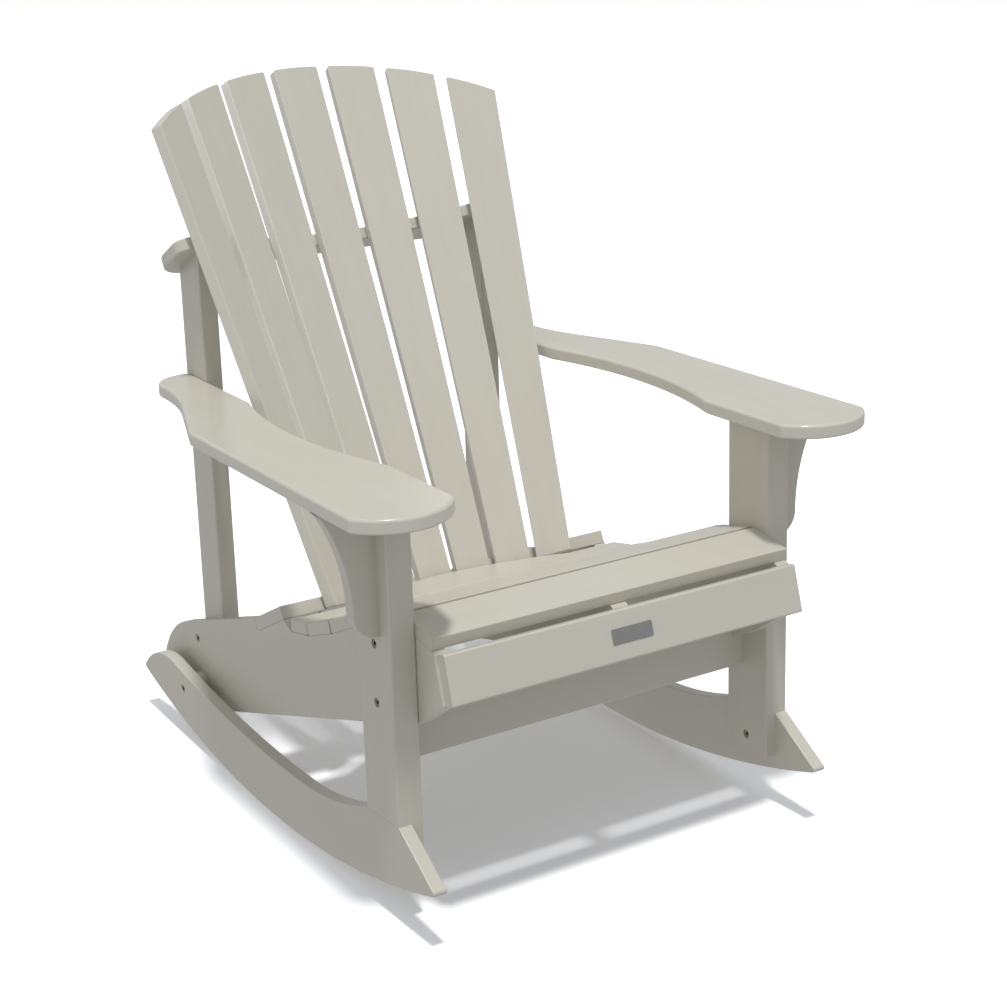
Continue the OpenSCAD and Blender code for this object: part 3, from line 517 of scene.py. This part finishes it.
bracket = {
    "toeW": 36.0, "sunk": 1.3, "lowZ": 398.0, "toeR": 33.0, "curveR": 266.0, "frontY": -352.0, "ease": 1.5,
    "grainAt": (340.0, -342.0, 480.0), "shift": {"right": 1.7, "left": -1.7},
}


def bracketOutline():
    # rounded toe, then a hollow curve out to the arm's underside; the inner edge is sunk
    # into the leg
    inX, toeX = chair["legOut"] - bracket["sunk"], chair["legOut"] + bracket["toeW"]
    toeZ, under = bracket["lowZ"] + bracket["toeR"], arm["topZ"] - chair["board"]
    rise = math.degrees(math.asin((under - toeZ) / bracket["curveR"]))
    return np.concatenate([
        [(inX, bracket["lowZ"])], arc((toeX - bracket["toeR"], toeZ), bracket["toeR"], -90, 0, 6.0),
        arc((toeX + bracket["curveR"], toeZ), bracket["curveR"], 180, 180 - rise, 2.0)[1:], [(inX, under)],
    ])


def makeBracket(side, hand):
    outline = bracketOutline() * [side, 1]
    piece = easedBoard("ArmBracket_" + hand, laid(outline, 1, bracket["frontY"]),
                       laid(outline, 1, bracket["frontY"] + chair["board"]), (0, -1, 0), bracket["ease"])
    at = bracket["grainAt"] * np.array([side, 1, 1])
    dress(piece, "arm_bracket_" + hand,
          boardFinish("bracket board " + hand, (0, 0, 1), (0, -1, 0), at, bracket["shift"][hand]))


bothSides(makeBracket)
print("arms and brackets made")


# The fan's cone

def turnX(degrees):
    a = math.radians(degrees)
    return np.array([[1, 0, 0], [0, math.cos(a), -math.sin(a)], [0, math.sin(a), math.cos(a)]])


def turnZ(degrees):
    a = math.radians(degrees)
    return np.array([[math.cos(a), -math.sin(a), 0], [math.sin(a), math.cos(a), 0], [0, 0, 1]])


fanTurn = turnX(chair["fanCone"] - chair["recline"])
fanFoot = np.array([0, chair["footY"], chair["footZ"]])
backTurn = turnX(-chair["recline"])
coneTurn = math.radians(chair["fanCone"])
cone = {"spread": 60.0, "lines": 120}  # how far its lines reach to each side, and how many


def coneOn(margin, at, normal):
    # where the cone's straight lines meet a plane. A line at angle a runs from
    # (R sin a, R cos a, 0) towards (T sin a, T cos a, 1), R its radius at the foot, T its slope
    a = np.radians(np.linspace(-cone["spread"], cone["spread"], 2 * cone["lines"] + 1))
    ring = np.stack([np.sin(a), np.cos(a), np.zeros_like(a)], 1)
    radius = chair["fanR"] + margin / math.cos(coneTurn)
    start = (ring * radius - [0, chair["fanR"], 0]) @ fanTurn.T + fanFoot
    way = (ring * math.tan(coneTurn) + [0, 0, 1]) @ fanTurn.T
    reach = ((np.asarray(at) - start) @ normal) / (way @ normal)
    return start + reach[:, None] * way


def hollowEdge(curve, y, count):
    # the part of the curve that bows past the line at y, as (x, y) points from left to right
    right = curve[cone["lines"]:]
    edge = float(np.interp(0, y - right[:, 1], right[:, 0]))
    x = np.linspace(-edge, edge, count)
    return np.stack([x, np.interp(x, curve[:, 0], curve[:, 1])], 1)


# Seat boards

def makeSeatBoard(i):
    # the board's section, cut along its joints and rounded, carried across the chair
    give = seat["gap"] / 2 * seatDirs[i]
    front, rear = (seatPoints[i] + give, seatUnder[i] + give), (seatUnder[i + 1] - give, seatPoints[i + 1] - give)
    outline = roundCorners([np.array(front + rear)], seat["edgeR"], points=9)[0]
    piece = easedBoard("SittingSlat_%d" % (i + 1), laid(outline, 0, chair["railOut"]),
                       laid(outline, 0, -chair["railOut"]), (1, 0, 0), seat["endEase"])
    up, at = (0, -seatDirs[i][1], seatDirs[i][0]), (0, *front[0])
    dress(piece, "seat_slat_%d" % (i + 1),
          boardFinish("seat board %d" % (i + 1), (1, 0, 0), up, at, i * seat["shift"]))


for i in range(last):
    makeSeatBoard(i)


def makeRearSeatBoard():
    # straight front edge, and a rear edge that follows the cone inside the slats
    out, give = chair["railOut"], seat["gap"] / 2 * seatDirs[last]
    up = np.array([0, -seatDirs[last][1], seatDirs[last][0]])
    loops = []
    for start in (seatPoints[last] + give, seatUnder[last] + give):
        curve = coneOn(-seat["backGap"], np.array([0, start[0], start[1]]), up)
        corners = [(-out, start[0]), (out, start[0]), (out, seat["rearY"])]
        plan = np.concatenate([corners, hollowEdge(curve, seat["rearY"], 49)[::-1], [(-out, seat["rearY"])]])
        z = start[1] + (plan[:, 1] - start[0]) * math.tan(slopes[last])
        loops.append(np.column_stack([plan, z]))
    radii = np.zeros(len(loops[0]))
    radii[[0, 1, 2, -1]] = seat["rearR"]
    front, back = roundCorners(loops, radii)
    piece = easedBoard("SittingSlat_6", front, back, up, seat["rearEase"], seat["rearUnderEase"])
    dress(piece, "seat_slat_6", boardFinish("seat board 6", (1, 0, 0), up, seat["rearGrainAt"], seat["rearShift"]))


makeRearSeatBoard()
print("seat made")


# Back slats

# each slat's sides are lightened by their own share of painted light
slat = {
    "long": 854.0, "footW": 54.0, "gain": 22.3, "crownR": 501.0, "count": 7, "footR": 2.6, "topR": 3.0,
    "ease": 1.8, "paintedSideLight": (0.15, 0.9, 0.9, 0.7, 0.6, 0.5, 0.5), "shift": 2.3,
}
fanReach = chair["fanR"] / math.sin(coneTurn)
fanSpread = math.radians(chair["fanStep"] * math.sin(coneTurn))


def halfWide(s):
    # half a board's width at s along it
    return (slat["footW"] + slat["gain"] * s / slat["long"]) / 2


def makeBackSlat(number):
    # tapered sides, a top cut on the crown's arc, and a foot cut level with the lower rail
    step = number - (slat["count"] + 1) / 2
    turn = fanTurn @ turnZ(-step * chair["fanStep"])
    place = lambda p: (p @ turnX(-chair["fanCone"]).T + [0, chair["fanR"], 0]) @ turn.T \
        + fanTurn @ np.array([0, -chair["fanR"], 0]) + fanFoot
    level = lambda p: (place(p) - fanFoot) @ backTurn[:, 2]

    # the crown's centre in the board's own plane, and the arc between the board's sides
    reach = fanReach + slat["long"] - slat["crownR"]
    crown = (-reach * math.sin(step * fanSpread), reach * math.cos(step * fanSpread) - fanReach)
    a = np.radians(np.linspace(40, 140, 2001))
    x, s = crown[0] + slat["crownR"] * np.cos(a), crown[1] + slat["crownR"] * np.sin(a)
    ends = [float(np.interp(0, halfWide(s) - x, a)), float(np.interp(0, (-x - halfWide(s)), a))]
    top = arc(crown, slat["crownR"], math.degrees(ends[0]), math.degrees(ends[1]), 1.0)

    loops = []
    for y in (0.0, chair["board"]):
        edges = np.array([[-halfWide(0), y, 0], [halfWide(0), y, 0]])
        for again in range(3):  # slides each lower corner along its edge down to the level
            low, high = level(edges), level(edges + [0, 0, 1])
            edges[:, 2] -= low / (high - low)
            edges[:, 0] = [-halfWide(edges[0, 2]), halfWide(edges[1, 2])]
        loops.append(place(np.concatenate([edges, laid(top, 1, y)])))
    radii = np.zeros(len(loops[0]))
    radii[[0, 1]], radii[[2, -1]] = slat["footR"], slat["topR"]
    front, back = roundCorners(loops, radii)
    at, outward, grain = place(np.array([[0, 0, 0], [0, -1.0, 0], [0, 0, 1.0]]))
    outward, grain = outward - at, grain - at
    piece = easedBoard("BackSlat_%d" % number, front, back, outward, slat["ease"])
    look = number * slat["shift"], slat["paintedSideLight"][number - 1]
    dress(piece, "back_slat_%d" % number, boardFinish("back board %d" % number, grain, outward, at, *look))


for number in range(1, slat["count"] + 1):
    makeBackSlat(number)
print("fan back made")


# Back rails, hollowed by the cone behind the slats

upperRail = {"s": 563.0, "long": 592.0, "wide": 125.0, "lead": 55.0, "frontR": 25.0, "rearR": 58.0,
             "hollowR": 4.5, "ease": 3.0, "shift": 6.1}
slatBow = halfWide(slat["long"]) ** 2 / (2 * (chair["fanR"] + upperRail["s"] * math.sin(coneTurn)))
hollowGap = 0.1


def makeBackRail(name, node, bar):
    # plan in the back's own frame: ends, rear edge, and the front edge with the cone cut out
    half, lead, rear = bar["long"] / 2, -bar["lead"], bar["wide"] - bar["lead"]
    loops = []
    for level in (bar["s"] + chair["board"], bar["s"]):
        at = fanFoot + backTurn @ np.array([0, 0, level])
        curve = (coneOn(chair["board"] + slatBow + hollowGap, at, backTurn[:, 2]) - fanFoot) @ backTurn
        ends = np.array([(half, lead), (half, rear), (-half, rear), (-half, lead)])
        plan = np.concatenate([ends, hollowEdge(curve, lead, 61)])
        loops.append(laid(plan, 2, level) @ backTurn.T + fanFoot)
    radii = np.zeros(len(loops[0]))
    radii[:4] = bar["frontR"], bar["rearR"], bar["rearR"], bar["frontR"]
    radii[[4, -1]] = bar["hollowR"]
    front, back = roundCorners(loops, radii, points=13)
    piece = easedBoard(name, front, back, backTurn[:, 2], bar["ease"])
    dress(piece, node, boardFinish(node.replace("_", " "), (1, 0, 0), backTurn[:, 2], fanFoot, bar["shift"]))


makeBackRail("LowerBackRail", "lower_back_rail", lowerRail)
makeBackRail("UpperBackRail", "upper_back_rail", upperRail)
print("back rails made")


# Blank plate on the apron

plate = {"wide": 64.0, "high": 20.6, "thick": 1.1, "cornerR": 2.2, "ease": 0.35, "backEase": 0.1}


def makePlate():
    # a bare rounded rectangle, level with the middle of the apron's leaning face:
    # middle + x * across + y * up, and its thickness further out for the front
    across, up, outward = np.array([1.0, 0, 0]), np.array([0, *leanUp]), np.array([0, *leanOut])
    middle = np.array([0, *rail["apron"]]) + up * rail["apronH"] / 2
    w, h = plate["wide"] / 2, plate["high"] / 2
    outline = roundCorners([np.array([(-w, -h), (w, -h), (w, h), (-w, h)])], plate["cornerR"])[0]
    back = middle + outline[:, :1] * across + outline[:, 1:] * up
    front = back + outward * plate["thick"]
    piece = easedBoard("NamePlate", front, back, outward, plate["ease"], plate["backEase"])
    dress(piece, "name_plate", plateFinish())


makePlate()


# Boards and hardware that keep the construction's own shapes

kept = {  # grain, the way it faces, a point on it, and the pattern's shift
    "front_leg_right": ((0, 0, 1), (1, 0, 0), (300, -335, 300), 1.1),
    "front_leg_left": ((0, 0, 1), (-1, 0, 0), (-300, -335, 300), 2.6),
    "rear_post_right": ((0, 0, 1), (1, 0, 0), (252, 314, 400), 4.7),
    "rear_post_left": ((0, 0, 1), (-1, 0, 0), (-252, 314, 400), 5.9),
    "seat_rib": ((0, math.cos(fall), -math.sin(fall)), (1, 0, 0), (0, -200, 340), 3.3),
    "front_apron": ((1, 0, 0), (0, *leanOut), (0, -448, 360), 7.2),
    "front_stretcher": ((1, 0, 0), (0, -1, 0), (0, -328, 229), 8.3),
}
for node, (grain, outward, at, shift) in kept.items():
    paint(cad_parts[node], boardFinish(node.replace("_", " "), grain, outward, at, shift))
paint(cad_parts["rocker_spacers"], spacerFinish())
steel = steelFinish()
for node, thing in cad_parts.items():
    if node.endswith(("_bolts", "_nuts", "_screws")):
        paint(thing, steel)
print("plate, bolts and screws finished")


# Floor, light and camera

stage = {
    "half": 12.0, "drop": 0.0002, "floorGlow": 0.50, "floorShown": (1.33, 1.35, 1.40),
    "sky": 0.48, "skyTint": (0.985, 0.995, 1.03), "skyShown": (1.0, 1.0, 1.0), "mirrored": 0.5,
    "sun": 1.85, "sunSoft": 5.0, "sunTurn": (15.0, -5.0, 0.0),
    "side": 0.34, "sideSoft": 70.0, "sideTurn": (90.0, 0.0, -90.0),
}


def byRay(f, kind, strength, shown):
    # plain light on the object, its own strength in a reflection, and what the camera sees
    path = f.node("ShaderNodeLightPath")
    plain = f.wire(kind, None, {"Color": stage["skyTint"] + (1.0,), "Strength": strength})
    mirrored = f.wire(kind, None, {"Color": (1, 1, 1, 1), "Strength": stage["mirrored"]})
    glossy, camera = (Wire(f, path.outputs[ray]) for ray in ("Is Glossy Ray", "Is Camera Ray"))
    bounced = f.wire("ShaderNodeMixShader", None, {0: glossy, 1: plain, 2: mirrored})
    return f.wire("ShaderNodeMixShader", None, {0: camera, 1: bounced, 2: shown})


def makeFloor():
    # a wide sheet under the chair, a hair below z = 0
    half, z = stage["half"], -stage["drop"]
    mesh = bpy.data.meshes.new("floor")
    mesh.from_pydata([(-half, -half, z), (half, -half, z), (-half, half, z), (half, half, z)], [], [(0, 1, 3, 2)])
    floor = bpy.data.objects.new("floor", mesh)
    bpy.context.scene.collection.objects.link(floor)
    f = Finish(bpy.data.materials.new("studio floor"))
    shown = f.wire("ShaderNodeBsdfDiffuse", None, {"Color": stage["floorShown"] + (1.0,)})
    f.node("ShaderNodeOutputMaterial", None, {"Surface": byRay(f, "ShaderNodeEmission", stage["floorGlow"], shown)})
    paint(floor, f.owner)


def makeSky():
    # level light from all round; white where the camera sees it
    world = bpy.data.worlds.new("studio")
    bpy.context.scene.world = world
    f = Finish(world)
    shown = f.wire("ShaderNodeBackground", None, {"Color": stage["skyShown"] + (1.0,), "Strength": 1.0})
    f.node("ShaderNodeOutputWorld", None, {"Surface": byRay(f, "ShaderNodeBackground", stage["sky"], shown)})


def makeLamp(name, energy, soft, turn):
    lamp = bpy.data.lights.new(name, "SUN")
    lamp.energy, lamp.angle = energy, math.radians(soft)
    thing = bpy.data.objects.new(name, lamp)
    thing.rotation_euler = tuple(math.radians(a) for a in turn)
    bpy.context.scene.collection.objects.link(thing)


# the photograph's viewpoint; the shift places the picture as the photograph is cropped
eye = {"at": (-1.38897, -2.36262, 1.31199), "turn": (74.41343, 2.44361, -29.58988),
       "sensor": 36.0, "lens": 69.285, "shift": (0.10368, -0.08129), "clip": (0.05, 60.0)}


def makeCamera():
    view = bpy.data.cameras.new("camera")
    view.sensor_width, view.lens = eye["sensor"], eye["lens"]
    view.shift_x, view.shift_y = eye["shift"]
    view.clip_start, view.clip_end = eye["clip"]
    camera = bpy.data.objects.new("camera", view)
    camera.location = eye["at"]
    camera.rotation_euler = tuple(math.radians(a) for a in eye["turn"])
    bpy.context.scene.collection.objects.link(camera)
    bpy.context.scene.camera = camera


makeFloor()
makeSky()
# the key lamp is high, a little to the front and the left; a faint broad one lies to the left
makeLamp("key", stage["sun"], stage["sunSoft"], stage["sunTurn"])
makeLamp("side", stage["side"], stage["sideSoft"], stage["sideTurn"])
makeCamera()
bpy.context.scene.view_settings.view_transform = "Standard"
print("floor, light and camera set")
